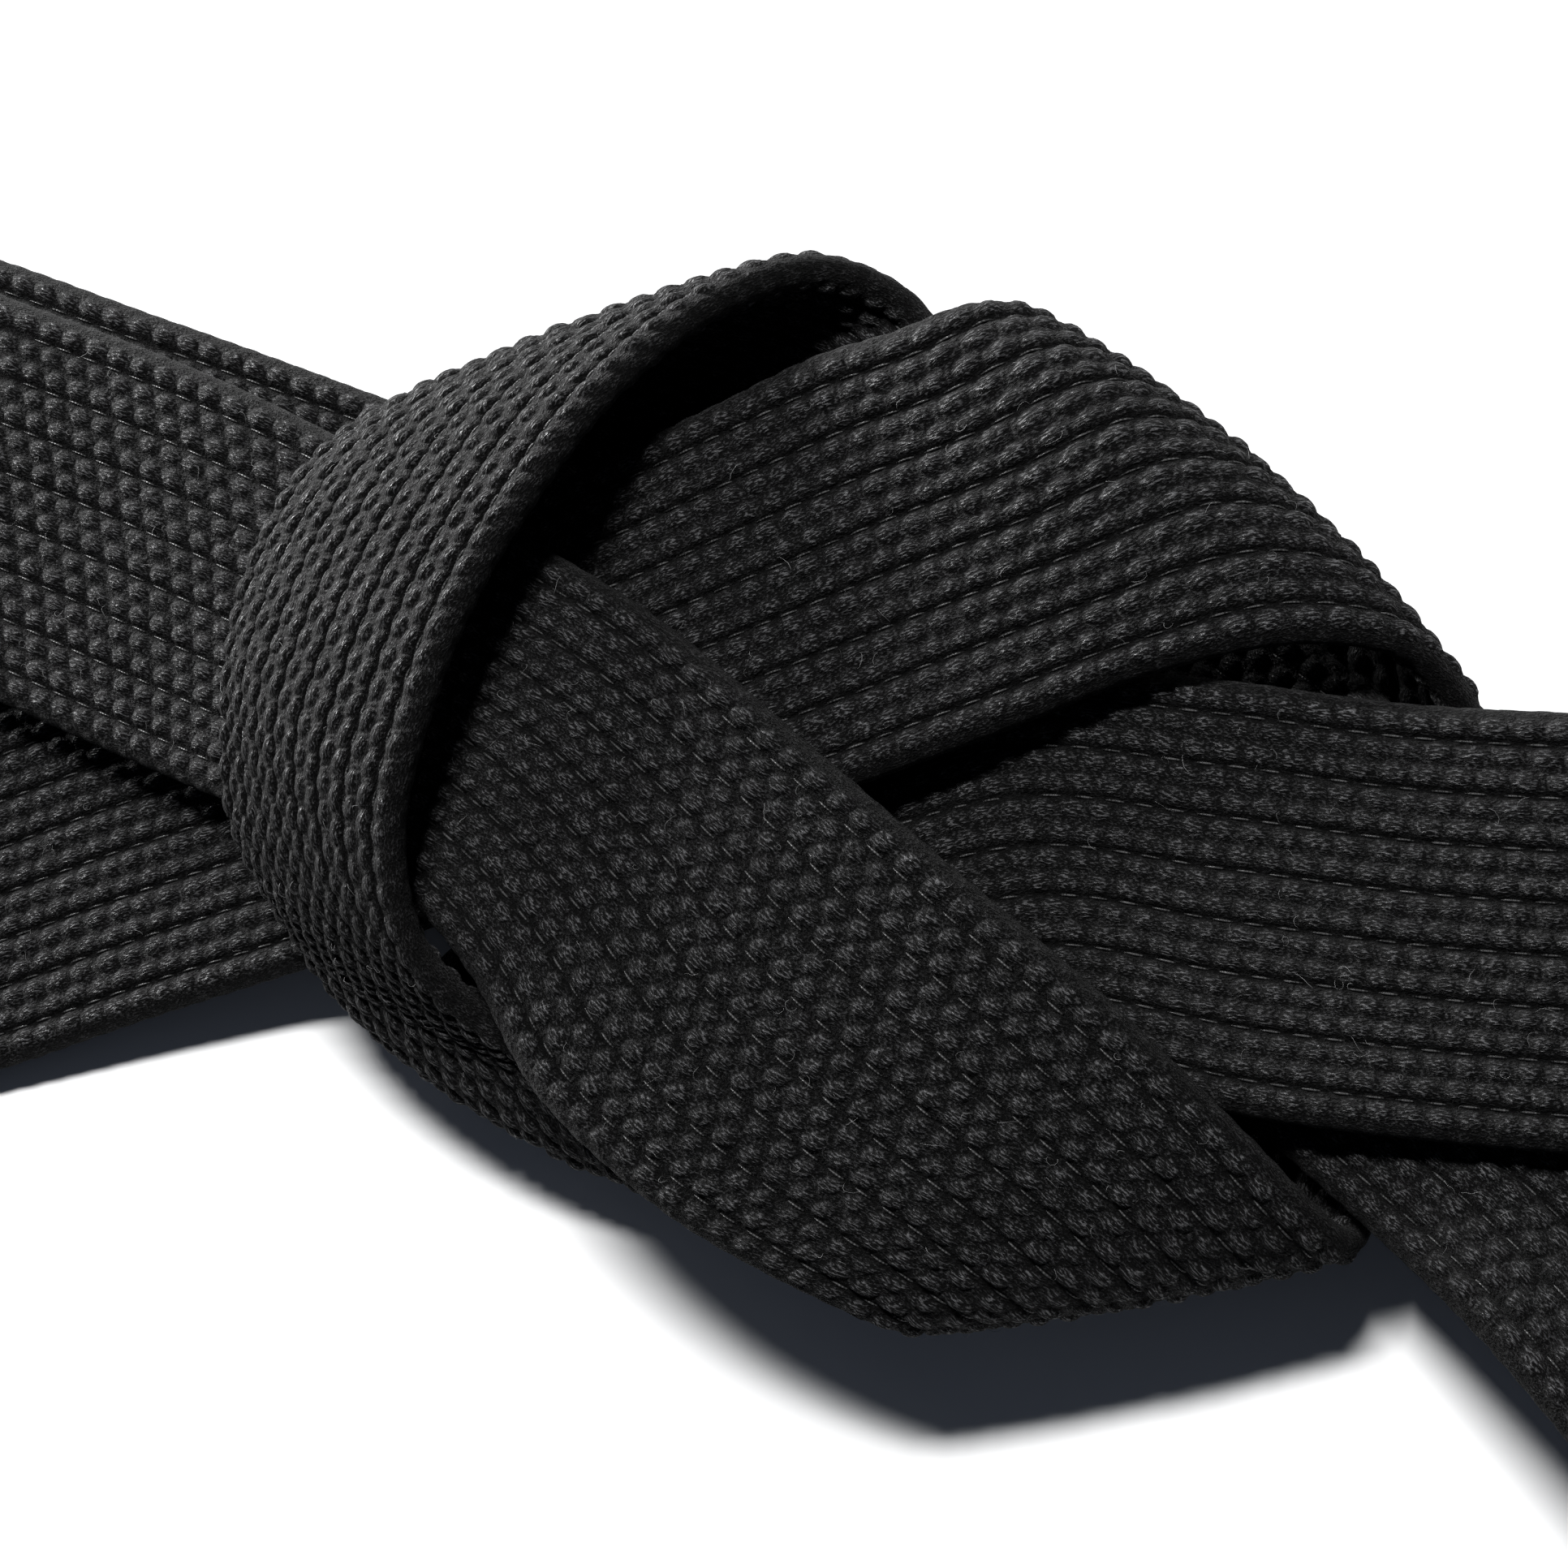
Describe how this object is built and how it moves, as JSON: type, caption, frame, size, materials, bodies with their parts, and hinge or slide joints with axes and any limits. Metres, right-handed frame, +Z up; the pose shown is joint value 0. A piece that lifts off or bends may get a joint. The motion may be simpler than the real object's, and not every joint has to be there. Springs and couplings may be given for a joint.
{
  "type": "martial arts belt",
  "caption": "Black woven cotton martial arts belt tied in a flat knot, waist loop closed and both tails laid out on a flat surface.",
  "frame": {"origin": "centre of the underside of the waist loop's back run, under the knot", "axes": "+X along the waist loop towards its right-hand end, +Y towards the loop's upper edge as it lies, +Z up from the surface the belt rests on"},
  "size_m": [0.553, 0.2873, 0.038],
  "materials": {
    "woven_cotton": "matte",
    "core_cotton": "matte",
    "thread": "satin"
  },
  "bodies": {
    "left_tail_end": {"left_tail_end_cover": "woven_cotton", "left_tail_end_inner_ply": "core_cotton", "left_tail_end_middle_ply": "core_cotton", "left_tail_end_outer_ply": "core_cotton", "left_tail_end_stitching": "thread", "left_tip_tuck": "woven_cotton", "left_tip_seam": "thread"},
    "left_tail_near": {"left_tail_near_cover": "woven_cotton", "left_tail_near_inner_ply": "core_cotton", "left_tail_near_middle_ply": "core_cotton", "left_tail_near_outer_ply": "core_cotton", "left_tail_near_stitching": "thread"},
    "waist_loop_and_knot": {"waist_loop_and_knot_cover": "woven_cotton", "waist_loop_and_knot_inner_ply": "core_cotton", "waist_loop_and_knot_middle_ply": "core_cotton", "waist_loop_and_knot_outer_ply": "core_cotton", "waist_loop_and_knot_stitching": "thread"},
    "right_tail_near": {"right_tail_near_cover": "woven_cotton", "right_tail_near_inner_ply": "core_cotton", "right_tail_near_middle_ply": "core_cotton", "right_tail_near_outer_ply": "core_cotton", "right_tail_near_stitching": "thread"},
    "right_tail_end": {"right_tail_end_cover": "woven_cotton", "right_tail_end_inner_ply": "core_cotton", "right_tail_end_middle_ply": "core_cotton", "right_tail_end_outer_ply": "core_cotton", "right_tail_end_stitching": "thread", "right_tip_tuck": "woven_cotton", "right_tip_seam": "thread"}
  },
  "joints": [
    {"name": "left_tail_lift", "type": "hinge", "parent": "waist_loop_and_knot", "child": "left_tail_near", "pos_m": [-0.1255, -0.0145, 0.00445], "axis": [-0.2249, 0.9744, 0.0075], "range_deg": [0, 85]},
    {"name": "left_tail_bend", "type": "hinge", "parent": "left_tail_near", "child": "left_tail_end", "pos_m": [-0.21, -0.0315, 0.004], "axis": [-0.2009, 0.9796, 0], "range_deg": [0, 85]},
    {"name": "right_tail_lift", "type": "hinge", "parent": "waist_loop_and_knot", "child": "right_tail_near", "pos_m": [0.09375, -0.062, 0.01675], "axis": [-0.7089, -0.6964, 0.1119], "range_deg": [0, 85]},
    {"name": "right_tail_bend", "type": "hinge", "parent": "right_tail_near", "child": "right_tail_end", "pos_m": [0.13625, -0.1035, 0.0043], "axis": [-0.6881, -0.7256, 0], "range_deg": [0, 85]}
  ]
}
